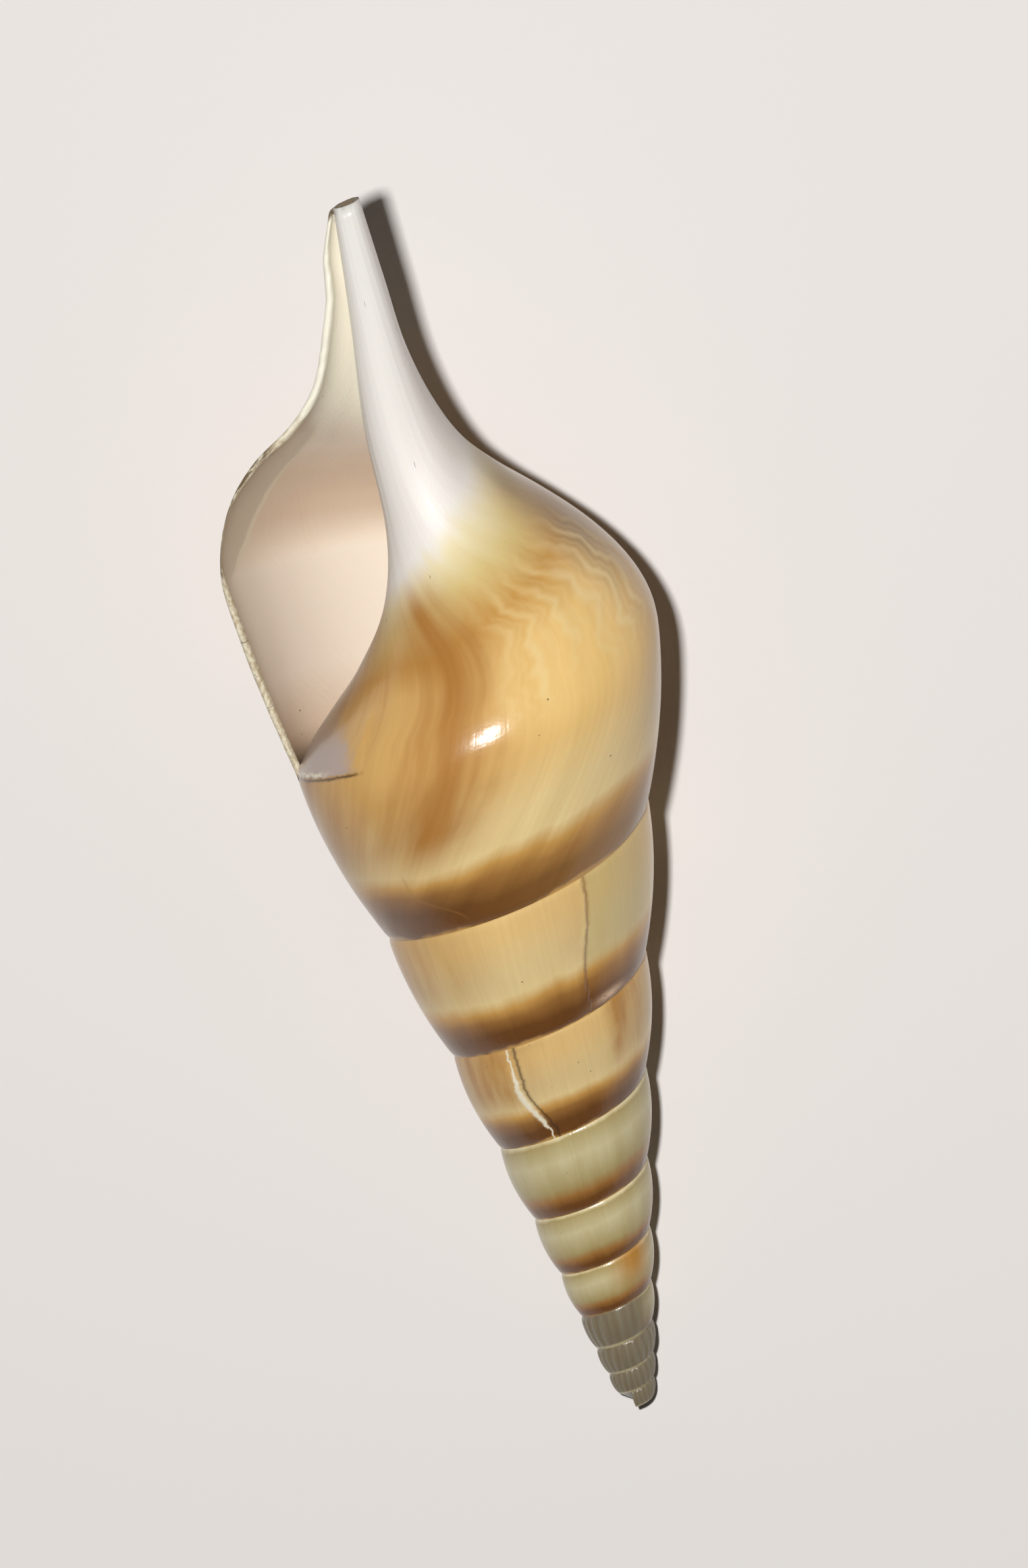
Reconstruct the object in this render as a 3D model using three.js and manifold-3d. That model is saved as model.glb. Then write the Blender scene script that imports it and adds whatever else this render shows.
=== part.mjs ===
// A spindle shell (tibia shell): a tall right-handed spire, a body whorl with an open
// aperture behind a thin outer lip, and a long siphonal canal drawn out along the pillar.
// The shell is one grown piece, so it is one mesh. It lies on its back, aperture up.
//
// The wall is one sheet swept round the axis. A place on it is given by two numbers:
//   turn   whorls from the outer lip: 0 at the lip's edge, -1 one whorl earlier, and so on;
//   s      0 at the upper suture, 1 at the periphery, 2 at the tip of the canal.
// A section is the sheet's outline at one turn, as (t, r): t runs along the axis from the
// point where the spire would end if it were not worn off, and r is the distance from it.
// Each whorl's periphery (s = 1) is the suture line (s = 0) of the whorl after it.

import * as THREE from "three";
import { mergeGeometries, mergeVertices } from "three/addons/utils/BufferGeometryUtils.js";
import Module from "manifold-3d";

// ---- Driving dimensions, in millimetres and whorls ----
const GROWTH = 1.295; // each whorl is this many times the one before
const LIP_SUTURE = 71.97; // t of the suture where the outer lip joins the spire
const FIRST_TURN = -9.8; // the worn apex
const CAVITY_TURNS = 4.25; // how far up the spire the hollow runs
const LIP_THICKNESS = 0.7;
const WALL_THICKNESS = 1.2; // a little way in from the lip
const WALL_GROWTH = 1.17; // the wall thins by this factor each whorl towards the apex
const THICKENING_TURNS = 0.12; // the lip reaches its full thickness in this much of a turn
const CORNER_REACH = 2.2; // where the hollow's upper corner lies, in wall thicknesses
const CANAL_CLOSING_TURNS = 0.45; // the canal is open for this much of a turn
const CANAL_FILLED = 0.19; // how much of s the closed canal takes off the hollow
const CORNER_BEND = 0.08; // share of the inner face that bends to meet its upper corner
const SEAM_BEND = 0.15; // share of it that bends to meet the seam along the pillar
const REST_TILT = 13.1; // the axis rises this many degrees from the worn apex to the canal
const REST_ROLL = 5.4; // degrees turned about the axis to lie on the back of the body whorl
const REST_WEAR = 0.15; // depth of the small flat that it lies on

// Slimness of the spire: r / t of the suture line, against turn.
const SUTURE_RATIO = [
  [-10, 0.235], [-8.25, 0.2255], [-7.25, 0.2215], [-6.25, 0.2175], [-5.25, 0.2135],
  [-4.25, 0.211], [-3.25, 0.2092], [-2.25, 0.2115], [-1.5, 0.215], [-1, 0.2222],
  [-0.5, 0.2222], [0, 0.2352], [0.5, 0.2325], [1, 0.2125],
];

// How far a whorl's side swells past a straight line, in whorl heights, against turn.
const SWELL = [
  [-10, 0.105], [-7, 0.09], [-5, 0.075], [-3, 0.06], [-1.5, 0.047], [-0.5, 0.046],
  [-0.25, 0.036], [0, 0.012],
];

// The base of the whorl, from below the periphery to the tip of the canal, at four turns.
// Earlier whorls have the first of these, made smaller.
const BASE_TURNS = [-1.5, -1, -0.5, 0];
const BASES = [
  [
    [65.6, 13.6], [68.7, 11], [71.7, 7.7], [76.2, 4.3],
    [84, 2.6], [97, 2], [110, 1.2], [124, 0.6],
  ],
  [
    [75, 15.4], [78.2, 12.5], [81.6, 9], [86.5, 5.5],
    [93.6, 3.67], [104, 3.38], [114.5, 2.25], [125, 1.35],
  ],
  [
    [86, 16.8], [89.6, 13.5], [93.6, 9.6], [98, 6],
    [103.4, 3.65], [110.2, 2.2], [117.5, 1.7], [125.4, 1.22],
  ],
  [
    [99, 18.1], [102.9, 14.4], [105.7, 9.9], [108.6, 7.2],
    [112.3, 5.5], [116.7, 4], [120.5, 3.4], [124.5, 1.9],
  ],
];

// ---- Fineness of the mesh ----
const STEPS = 32; // facets in a turn
const DEEP_STRIDE = 2; // steps to a facet in the hollow's inner turns
const SIDE_ROWS = 4; // facets from suture to periphery
const BASE_ROWS = 12; // facets from periphery to tip
const APEX_RISE = 0.3; // how far the worn apex stands past its rim
const PROBE = 0.001; // a small step in s, to find slopes with
const HALVINGS = 30; // enough to find an s to a millionth
const WELD = 1e-4; // points nearer than this are one

const sideParams = Array.from({ length: SIDE_ROWS + 1 }, (_, i) => i / SIDE_ROWS);
const baseParams = Array.from({ length: BASE_ROWS + 1 }, (_, i) => 1 + i / BASE_ROWS);
const wholeParams = [...sideParams, ...baseParams.slice(1)];

// ---- Curves through given values ----

// A smooth curve through values ys at places xs, each slope taken from its neighbours.
function curveThrough(xs, ys, x) {
  const last = xs.length - 1;
  const place = Math.min(Math.max(x, xs[0]), xs[last]);
  let i = 0;
  while (i < last - 1 && place >= xs[i + 1]) i += 1;
  const slope = (k) => {
    const before = Math.max(k - 1, 0);
    const after = Math.min(k + 1, last);
    return (ys[after] - ys[before]) / (xs[after] - xs[before]);
  };
  const width = xs[i + 1] - xs[i];
  const u = (place - xs[i]) / width;
  const rise = u * u * (3 - 2 * u);
  const leave = u * (1 - u) * (1 - u) * width * slope(i);
  const arrive = u * u * (u - 1) * width * slope(i + 1);
  return ys[i] * (1 - rise) + ys[i + 1] * rise + leave + arrive;
}

function keyed(table, x) {
  return curveThrough(table.map((row) => row[0]), table.map((row) => row[1]), x);
}

function smoothStep(x) {
  return THREE.MathUtils.smoothstep(x, 0, 1);
}

// ---- One section of the wall ----

// The suture line at a turn, as (t, r).
function suture(turn) {
  const t = LIP_SUTURE * GROWTH ** turn;
  return new THREE.Vector2(t, t * keyed(SUTURE_RATIO, turn));
}

// The base's points at a turn, between the given bases or as a smaller copy of the first.
function basePoints(turn) {
  if (turn < BASE_TURNS[0]) {
    const scale = GROWTH ** (turn - BASE_TURNS[0]);
    return BASES[0].map(([t, r]) => new THREE.Vector2(t * scale, r * scale));
  }
  return BASES[0].map((_, i) => {
    const grown = (axis) => curveThrough(BASE_TURNS, BASES.map((base) => base[i][axis]), turn);
    return new THREE.Vector2(grown(0), grown(1));
  });
}

// Gives a function of s, from 0 to 2, to the section's (t, r) at a turn.
function makeSection(turn) {
  const top = suture(turn);
  const periphery = suture(turn + 1);
  const swell = 4 * keyed(SWELL, turn) * (periphery.x - top.x);
  const side = (s) => {
    const point = top.clone().lerp(periphery, s);
    point.y += swell * s * (1 - s);
    return point;
  };
  // The point before the periphery makes the base's curve leave along the side's slope.
  const [below, ...rest] = basePoints(turn);
  const away = periphery.clone().sub(side(1 - PROBE)).setLength(2 * periphery.distanceTo(below));
  const points = [below.clone().sub(away), periphery, below, ...rest];
  const numbers = points.map((_, i) => i);
  const base = (s) => {
    const place = (s - 1) * (points.length - 2) + 1;
    const along = (axis) => curveThrough(numbers, points.map((p) => p[axis]), place);
    return new THREE.Vector2(along("x"), along("y"));
  };
  return (s) => (s <= 1 ? side(s) : base(s));
}

// The s at which a section reaches a given t.
function paramAt(section, t) {
  let low = 0;
  let high = 2;
  for (let i = 0; i < HALVINGS; i += 1) {
    const middle = (low + high) / 2;
    if (section(middle).x < t) low = middle;
    else high = middle;
  }
  return (low + high) / 2;
}

// ---- The hollow: the wall's inner face, and the floor it meets at both ends ----

function wallThickness(turn) {
  const rise = smoothStep(-turn / THICKENING_TURNS);
  return THREE.MathUtils.lerp(LIP_THICKNESS, WALL_THICKNESS, rise) * WALL_GROWTH ** turn;
}

// Where the hollow starts and ends on its floor, which is the whorl before, in s.
function floorRange(turn, floor) {
  if (turn === 0) return [1, 2];
  const reach = CORNER_REACH * wallThickness(turn) * smoothStep(-turn / THICKENING_TURNS);
  const closed = CANAL_FILLED * smoothStep(-turn / CANAL_CLOSING_TURNS);
  return [paramAt(floor, suture(turn).x + reach), 2 - closed];
}

// The point on the inner face behind s of the outer face. The wall thins to nothing where
// it comes down to the suture, so that it never dips below the whorl it grows on.
function innerPoint(turn, section, s) {
  const before = section(Math.max(s - PROBE, 0));
  const along = section(Math.min(s + PROBE, 2)).sub(before).normalize();
  const point = section(s);
  const thickness = Math.min(wallThickness(turn), (point.x - suture(turn).x) / CORNER_REACH);
  return point.add(new THREE.Vector2(along.y, -along.x).multiplyScalar(thickness));
}

// The inner face's outline at a turn, bent at both ends to meet the floor.
function innerOutline(turn, outer, floor) {
  const [floorStart, floorEnd] = floorRange(turn, floor);
  const corner = floor(floorStart);
  const seam = floor(floorEnd);
  const first = turn === 0 ? 0 : paramAt(outer, corner.x);
  const last = turn === 0 ? 2 : paramAt(outer, seam.x);
  const shares = wholeParams.map((s) => s / 2);
  const points = shares.map((share) => innerPoint(turn, outer, first + (last - first) * share));
  const cornerMiss = corner.clone().sub(points[0]);
  const seamMiss = seam.clone().sub(points[points.length - 1]);
  points.forEach((point, i) => {
    const nearCorner = Math.max(1 - shares[i] / CORNER_BEND, 0) ** 2;
    const nearSeam = smoothStep(1 - (1 - shares[i]) / SEAM_BEND);
    point.addScaledVector(cornerMiss, nearCorner).addScaledVector(seamMiss, nearSeam);
  });
  return points;
}

function floorOutline(turn, floor) {
  const [start, end] = floorRange(turn, floor);
  return baseParams.map((s) => floor(THREE.MathUtils.lerp(start, end, s - 1)));
}

// ---- Sweeping outlines into the surface ----

// Puts a (t, r) point at its place round the axis. The lip is at -X and its wall comes
// up to it from behind, so the shell is right-handed with the aperture towards +Z.
function placeAt(turn, point) {
  const angle = 2 * Math.PI * turn;
  return new THREE.Vector3(-point.y * Math.cos(angle), point.x, point.y * Math.sin(angle));
}

function surface(vertices, triangles) {
  const geometry = new THREE.BufferGeometry().setFromPoints(vertices);
  geometry.setIndex(triangles.flat());
  return geometry;
}

// A grid of outlines, each joined to the next.
function sheet(outlines, facesIn = false) {
  const width = outlines[0].length;
  const triangles = [];
  for (let i = 0; i < outlines.length - 1; i += 1) {
    for (let j = 0; j < width - 1; j += 1) {
      const [a, b] = [i * width + j, (i + 1) * width + j];
      const pair = [[a, b, b + 1], [a, b + 1, a + 1]];
      triangles.push(...(facesIn ? pair.map((t) => t.reverse()) : pair));
    }
  }
  return surface(outlines.flat(), triangles);
}

// A closed ring of points filled from a centre point.
function fan(ring, centre) {
  const triangles = ring.map((_, i) => [i, (i + 1) % ring.length, ring.length]);
  return surface([...ring, centre], triangles);
}

// Two outlines with the same ends, and unequal numbers of points, joined across.
function zip(long, short) {
  const triangles = [];
  let j = 0;
  for (let i = 0; i < long.length - 1; i += 1) {
    const next = Math.round(((i + 1) * (short.length - 1)) / (long.length - 1));
    triangles.push([i + 1, i, long.length + j]);
    if (next > j) {
      triangles.push([long.length + next, i + 1, long.length + j]);
      j = next;
    }
  }
  return surface([...long, ...short], triangles);
}

function turnsBetween(firstStep, lastStep, stride = 1) {
  const count = Math.round((lastStep - firstStep) / stride);
  return Array.from({ length: count + 1 }, (_, i) => (firstStep + i * stride) / STEPS);
}

function sweep(turns, params) {
  return turns.map((turn) => {
    const section = makeSection(turn);
    return params.map((s) => placeAt(turn, section(s)));
  });
}

// ---- The parts of the surface ----

const firstStep = Math.round(FIRST_TURN * STEPS);

function spire() {
  return sheet(sweep(turnsBetween(firstStep, -STEPS), sideParams));
}

function bodyWhorl() {
  return sheet(sweep(turnsBetween(-STEPS, 0), wholeParams));
}

// The inner face and the floor, as two lists of outlines from the deep end to the lip.
function hollowOutlines() {
  const deepStep = -Math.round(CAVITY_TURNS * STEPS);
  const deep = turnsBetween(deepStep, -STEPS, DEEP_STRIDE);
  const turns = [...deep, ...turnsBetween(1 - STEPS, 0)];
  const pairs = turns.map((turn) => {
    const floor = makeSection(turn - 1);
    const inner = innerOutline(turn, makeSection(turn), floor).map((p) => placeAt(turn, p));
    const under = floorOutline(turn, floor).map((p) => placeAt(turn - 1, p));
    under[0] = inner[0].clone();
    under[under.length - 1] = inner[inner.length - 1].clone();
    return [inner, under];
  });
  return [pairs.map((pair) => pair[0]), pairs.map((pair) => pair[1])];
}

function hollow() {
  const [inner, floor] = hollowOutlines();
  const lip = makeSection(0);
  const lipEdge = wholeParams.map((s) => placeAt(0, lip(s)));
  const lipRim = sheet([lipEdge, inner[inner.length - 1]]);
  return [sheet(inner, true), sheet(floor), zip(inner[0], floor[0]), lipRim];
}

// The broken end of the canal, round the pillar.
function canalTip() {
  const ring = sweep(turnsBetween(-STEPS, 0), [2]).flat();
  const centre = ring.reduce((sum, p) => sum.add(p), new THREE.Vector3()).divideScalar(ring.length);
  return fan(ring, centre);
}

// The worn end of the spire.
function apex() {
  const rim = sweep(turnsBetween(firstStep, firstStep + STEPS), [0]).flat();
  const section = makeSection(firstStep / STEPS);
  const across = sideParams.slice(1, -1).map((s) => placeAt(firstStep / STEPS, section(s)));
  const ring = [...across, ...rim.reverse()];
  const lowest = Math.min(...ring.map((p) => p.y));
  return fan(ring, new THREE.Vector3(0, lowest - APEX_RISE, 0));
}

// ---- The finished shell, at rest ----

function grownShell() {
  const joined = mergeGeometries([spire(), bodyWhorl(), ...hollow(), canalTip(), apex()]);
  return withoutSlivers(mergeVertices(joined, WELD));
}

// Where outlines meet at a point, the triangles between them have no area.
function withoutSlivers(geometry) {
  const index = [...geometry.index.array];
  const kept = [];
  for (let i = 0; i < index.length; i += 3) {
    const [a, b, c] = index.slice(i, i + 3);
    if (a !== b && b !== c && c !== a) kept.push(a, b, c);
  }
  geometry.setIndex(kept);
  return geometry;
}

function layDown(geometry) {
  geometry.rotateY(THREE.MathUtils.degToRad(REST_ROLL));
  geometry.rotateX(THREE.MathUtils.degToRad(REST_TILT));
  return standOnGround(geometry);
}

function standOnGround(geometry) {
  geometry.computeBoundingBox();
  const { min, max } = geometry.boundingBox;
  return geometry.translate(-(min.x + max.x) / 2, -(min.y + max.y) / 2, -min.z);
}

// Takes off what lies below a height, with a boolean cut.
async function wornFlat(geometry, height) {
  const wasm = await Module();
  wasm.setup();
  const solid = (shape) => {
    const vertProperties = shape.attributes.position.array;
    const triVerts = new Uint32Array(shape.index.array);
    return new wasm.Manifold(new wasm.Mesh({ numProp: 3, vertProperties, triVerts }));
  };
  const reach = 2 * geometry.boundingBox.max.y;
  const ground = new THREE.BoxGeometry(reach, 2 * reach, reach);
  ground.translate(0, 0, height - reach / 2);
  ground.deleteAttribute("normal");
  ground.deleteAttribute("uv");
  const cut = solid(geometry).subtract(solid(mergeVertices(ground))).getMesh();
  const result = new THREE.BufferGeometry();
  result.setAttribute("position", new THREE.BufferAttribute(cut.vertProperties, 3));
  result.setIndex(new THREE.BufferAttribute(cut.triVerts, 1));
  return result;
}

const enamel = new THREE.MeshStandardMaterial({ color: 0xcfa468, roughness: 0.25, metalness: 0 });
const shellShape = standOnGround(await wornFlat(layDown(grownShell()), REST_WEAR));
shellShape.computeVertexNormals();

const shell = new THREE.Mesh(shellShape, enamel);
shell.name = "shell";

const model = new THREE.Group();
model.add(shell);
export default model;
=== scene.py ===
"""The looks of the spindle shell: its fine surface, enamel, floor, light and camera.

The surface follows the same growth as the CAD solid. A place on it has two coordinates:
  turn   whorls from the outer lip: 0 at the lip's edge, -1 one whorl earlier;
  s      0 at the upper suture, 1 at the periphery, 2 at the tip of the canal.
Lengths are in millimetres until the mesh is made.
"""
import math

import bpy
import numpy as np
from mathutils import Matrix, Vector


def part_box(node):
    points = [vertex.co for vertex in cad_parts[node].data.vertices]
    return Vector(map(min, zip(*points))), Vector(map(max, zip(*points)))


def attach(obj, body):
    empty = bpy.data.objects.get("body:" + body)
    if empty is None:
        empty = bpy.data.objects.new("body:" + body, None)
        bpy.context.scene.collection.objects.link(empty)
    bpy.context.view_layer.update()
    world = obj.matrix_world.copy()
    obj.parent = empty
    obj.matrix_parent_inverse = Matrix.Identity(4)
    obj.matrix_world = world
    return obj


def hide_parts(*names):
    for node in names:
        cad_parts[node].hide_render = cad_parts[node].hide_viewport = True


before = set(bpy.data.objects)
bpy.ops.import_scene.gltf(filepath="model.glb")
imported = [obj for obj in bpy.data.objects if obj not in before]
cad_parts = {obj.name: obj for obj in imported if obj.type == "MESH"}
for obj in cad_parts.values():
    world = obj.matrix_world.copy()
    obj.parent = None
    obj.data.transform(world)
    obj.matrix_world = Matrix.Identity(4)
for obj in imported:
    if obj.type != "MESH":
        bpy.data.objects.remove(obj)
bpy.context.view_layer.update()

# ---- Growth, as in the CAD solid ----
GROWTH = 1.295  # how much bigger a whorl is than the one before
LIP_SUTURE = 71.97  # from the spiral's point to the suture at the lip, along the axis
FIRST_TURN = -9.8
LIP_THICKNESS = 0.7
WALL_THICKNESS = 1.2
WALL_GROWTH = 1.17
THICKENING_TURNS = 0.12
CORNER_REACH = 2.2  # where the hollow's upper corner lies, in wall thicknesses
CANAL_CLOSING_TURNS = 0.45
CANAL_FILLED = 0.19  # how much of s the closed canal takes off the hollow
REST_TILT = math.radians(13.1)
REST_ROLL = math.radians(5.4)
REST_WEAR = 0.15  # depth of the flat that it lies on
SLOPE_STEP = 0.001  # step in s over which a slope is taken
CORNER_BEND = 0.08  # share of the inner outline that bends to meet the floor's corner
SEAM_BEND = 0.15  # and the same at its seam

# The suture's distance from the axis, as a share of its distance along it, by turn.
SUTURE_RATIO = [
    (-10, 0.235), (-8.25, 0.2255), (-7.25, 0.2215), (-6.25, 0.2175), (-5.25, 0.2135),
    (-4.25, 0.211), (-3.25, 0.2092), (-2.25, 0.2115), (-1.5, 0.215), (-1, 0.2222),
    (-0.5, 0.2222), (0, 0.2352), (0.5, 0.2325), (1, 0.2125),
]
# How far a whorl's side bulges, as a share of its length, by turn.
SWELL = [
    (-10, 0.105), (-7, 0.09), (-5, 0.075), (-3, 0.06), (-1.5, 0.047), (-0.5, 0.046),
    (-0.25, 0.036), (0, 0.012),
]
# The base's outline below the periphery, (along, out) from the axis, at four turns.
BASE_TURNS = [-1.5, -1, -0.5, 0]
BASES = np.array([
    [
        (65.6, 13.6), (68.7, 11), (71.7, 7.7), (76.2, 4.3),
        (84, 2.6), (97, 2), (110, 1.2), (124, 0.6),
    ],
    [
        (75, 15.4), (78.2, 12.5), (81.6, 9), (86.5, 5.5),
        (93.6, 3.67), (104, 3.38), (114.5, 2.25), (125, 1.35),
    ],
    [
        (86, 16.8), (89.6, 13.5), (93.6, 9.6), (98, 6),
        (103.4, 3.65), (110.2, 2.2), (117.5, 1.7), (125.4, 1.22),
    ],
    [
        (99, 18.1), (102.9, 14.4), (105.7, 9.9), (108.6, 7.2),
        (112.3, 5.5), (116.7, 4), (120.5, 3.4), (124.5, 1.9),
    ],
])

# ---- Fineness ----
STEPS = 240  # outlines in a turn
# Where in a turn outlines crowd: (place, width, how much denser).
CROWDED = [(0.32, 0.012, 2.5), (0.19, 0.02, 2.0), (0.0, 0.05, 1.6), (1.0, 0.05, 1.6)]
DEEP_STRIDE = 3  # steps between outlines in the hollow, further in than INNER_FINE
INNER_FINE = 0.25
INNER_TURNS = 1.3  # how far in the hollow's surface runs
SIDE_ROWS = 20
BASE_ROWS = 64
RIM_ROWS = 4
ROW_CROWDING = 0.13  # how far rows crowd towards the sutures
APEX_RISE = -0.15  # how far the worn apex stands out; it is a little hollow

rows = np.linspace(0, 1, SIDE_ROWS + 1)
SIDE = rows - ROW_CROWDING * np.sin(2 * np.pi * rows)
BASE = 1 + np.linspace(0, 1, BASE_ROWS + 1)
WHOLE = np.concatenate([SIDE, BASE[1:]])


def crowded_steps():
    """The outlines' places in one turn, closer together at the scars and the lip."""
    place = np.linspace(0, 1, 2001)
    density = np.ones_like(place)
    for centre, width, extra in CROWDED:
        density += extra * np.exp(-(((place - centre) / width) ** 2))
    total = np.concatenate([[0], np.cumsum((density[1:] + density[:-1]) / 2)])
    return np.interp(np.linspace(0, total[-1], STEPS + 1), total, place)


TURN_STEPS = crowded_steps()


def steps(first, last, stride=1):
    """The turns at whole step numbers; step 0 is the lip's edge."""
    number = np.arange(first, last + 1, stride)
    return number // STEPS + TURN_STEPS[number % STEPS]


FIRST_STEP = round(math.floor(FIRST_TURN) * STEPS + np.abs(TURN_STEPS - FIRST_TURN % 1).argmin())


# ---- Curves and sections ----

def curve_through(xs, ys, x):
    """A smooth curve through ys at xs, each slope taken from its neighbours."""
    xs = np.asarray(xs, float)
    ys = np.asarray(ys, float)
    last = len(xs) - 1
    before = np.maximum(np.arange(last + 1) - 1, 0)
    after = np.minimum(np.arange(last + 1) + 1, last)
    shape = (-1,) + (1,) * (ys.ndim - 1)
    slopes = (ys[after] - ys[before]) / (xs[after] - xs[before]).reshape(shape)
    x = np.clip(x, xs[0], xs[-1])
    i = np.clip(np.searchsorted(xs, x, side="right") - 1, 0, last - 1)
    width = xs[i + 1] - xs[i]
    u = (x - xs[i]) / width
    if np.ndim(x) and ys.ndim > 1:
        width, u = width.reshape(shape), u.reshape(shape)
    rise = u * u * (3 - 2 * u)
    leave = u * (1 - u) ** 2 * width * slopes[i]
    arrive = u * u * (u - 1) * width * slopes[i + 1]
    return ys[i] * (1 - rise) + ys[i + 1] * rise + leave + arrive


def keyed(table, x):
    """A smooth curve through a table of (x, y)."""
    table = np.array(table, float)
    return curve_through(table[:, 0], table[:, 1], x)


def smooth_step(x):
    x = np.clip(x, 0, 1)
    return x * x * (3 - 2 * x)


def suture(turn):
    """The upper suture at a turn, (along, out)."""
    t = LIP_SUTURE * GROWTH ** turn
    return np.array([t, t * keyed(SUTURE_RATIO, turn)])


class Section:
    """The wall's outline at one turn: at(s) gives (t, r) rows."""

    def __init__(self, turn):
        self.top = suture(turn)
        self.periphery = suture(turn + 1)
        self.swell = 4 * keyed(SWELL, turn) * (self.periphery[0] - self.top[0])
        if turn < BASE_TURNS[0]:
            base = BASES[0] * GROWTH ** (turn - BASE_TURNS[0])
        else:
            base = curve_through(BASE_TURNS, BASES, turn)
        away = self.periphery - self.side(np.array([0.999]))[0]
        away *= 2 * np.linalg.norm(base[0] - self.periphery) / np.linalg.norm(away)
        self.points = np.vstack([base[0] - away, self.periphery, base])

    def side(self, s):
        points = self.top + (self.periphery - self.top) * s[:, None]
        points[:, 1] += self.swell * s * (1 - s)
        return points

    def at(self, s):
        s = np.atleast_1d(np.asarray(s, float))
        place = (s - 1) * (len(self.points) - 2) + 1
        base = curve_through(np.arange(len(self.points)), self.points, place)
        return np.where((s <= 1)[:, None], self.side(s), base)

    def s_at(self, t):
        s = np.linspace(0, 2, 801)
        return float(np.interp(t, np.maximum.accumulate(self.at(s)[:, 0]), s))


# ---- Relief: how far the surface stands out from its plain outline, in mm ----
rng = np.random.default_rng(7)
NOISE = rng.uniform(-1, 1, (64, 64))
RIBS = 24  # in a turn
RIB_START = -6.62
RIB_HEIGHT = 0.11
GROOVE = 0.13  # how deep the suture is cut
GROOVE_REACH = 0.05  # how far from the suture, in s
LONG_SCAR = -2.79  # where the old break across the third whorl starts, in turns
LONG_SCAR_LEAN = -0.034
FINE_SCAR = -1.679  # the mended break across the last whorl but one
SIDE_MARGIN = 0.07  # relief fades this near to a suture, in s
# How far along the spiral the last whorl's growth lines lean at s, in turns.
LEAN = [
    (0, 0), (0.3, 0.05), (0.7, 0.108), (1.1, 0.142), (1.2, 0.154), (1.3, 0.15), (1.38, 0.125),
    (1.45, 0.1), (1.52, 0.065), (1.65, 0), (2, -0.08),
]
RIDGE_PITCH = 0.036  # turns from ridge to ridge on the base
CHIP_REACH = 0.05  # how far from the lip its chips draw the wall back, in turns
SHOULDER_REACH = 0.2  # how far in s the shoulder is eased
CALLUS = {"turns": (-1.06, -0.862), "s": (1.035, 1.27)}
CALLUS_LEAN = 1.2  # how fast the callus's colour narrows away from its lower edge


def noise(x, y=0.0):
    """Smooth noise from -1 to 1, repeating every 64."""
    x, y = np.broadcast_arrays(np.asarray(x, float), np.asarray(y, float))
    i, j = np.floor(x).astype(int), np.floor(y).astype(int)
    u, v = smooth_step(x - i), smooth_step(y - j)
    a, b = NOISE[i % 64, j % 64], NOISE[(i + 1) % 64, j % 64]
    c, d = NOISE[i % 64, (j + 1) % 64], NOISE[(i + 1) % 64, (j + 1) % 64]
    return (a * (1 - u) + b * u) * (1 - v) + (c * (1 - u) + d * u) * v


def window(x, low, high, soft):
    """1 between low and high, fading to 0 at both."""
    return smooth_step((x - low) / soft) * smooth_step((high - x) / soft)


def growth_line(turn, s):
    """The turn at which the growth line through a place starts, up at the suture."""
    return turn - smooth_step((turn + 1.4) / 0.4) * keyed(LEAN, s)


def long_scar(s):
    """The turn of the old break across the third whorl."""
    wander = 0.0035 * noise(s * 11, 3) + 0.002 * noise(s * 29, 5)
    return LONG_SCAR + LONG_SCAR_LEAN * smooth_step(s / 0.6) + wander


def fine_scar(s):
    """The turn of the mended break across the last whorl but one."""
    return FINE_SCAR - 0.006 * np.sin(s * 5.2) + 0.002 * noise(s * 17, 9)


def healed(turn, line, depth, reach):
    """New shell starts lower than the broken edge it grew from, and rises again."""
    past = turn - line
    return np.where(past > 0, -depth * np.exp(-np.maximum(past, 0) / reach), 0)


def groove(turn, nearness):
    """The cut at a suture; nearness is 1 on it and 0 at the cut's edge."""
    return -GROOVE * GROWTH ** (turn / 2) * smooth_step(-turn / 0.3) * np.maximum(nearness, 0) ** 2


def ridges(turn, s):
    """Scalloped growth ridges on the last whorl's base, higher at its right side."""
    line = growth_line(turn, s)
    scallop = 0.005 * np.abs(np.sin(s * np.pi * 9 + 2 * noise(line * 14, 21)))
    phase = (line + scallop) / RIDGE_PITCH + 0.5 * noise(line * 7, s * 14 + 8)
    tooth = phase - np.floor(phase)
    height = 0.06 + 0.09 * smooth_step((line + 0.72) / 0.12)
    here = window(line, -0.89, -0.60, 0.08) * window(s, 0.94, 1.42, 0.16)
    return height * np.sin(np.pi * tooth ** 0.6) * here


def callus(turn, s):
    """The glaze laid on beside the aperture's upper corner, with a raised rim."""
    ragged = 0.004 * noise(s * 30, turn * 60)
    low, high = CALLUS["s"]
    inside = (turn + ragged - CALLUS["turns"][0], CALLUS["turns"][1] - turn + ragged)
    edge = np.minimum(np.minimum(inside[0], inside[1]) * 3, s - low + ragged)
    body = smooth_step(edge / 0.02) * smooth_step((high - s) / 0.12)
    rim = np.exp(-(((edge - 0.018) / 0.012) ** 2)) * smooth_step((high - s) / 0.12)
    return 0.10 * body + 0.09 * rim


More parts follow.
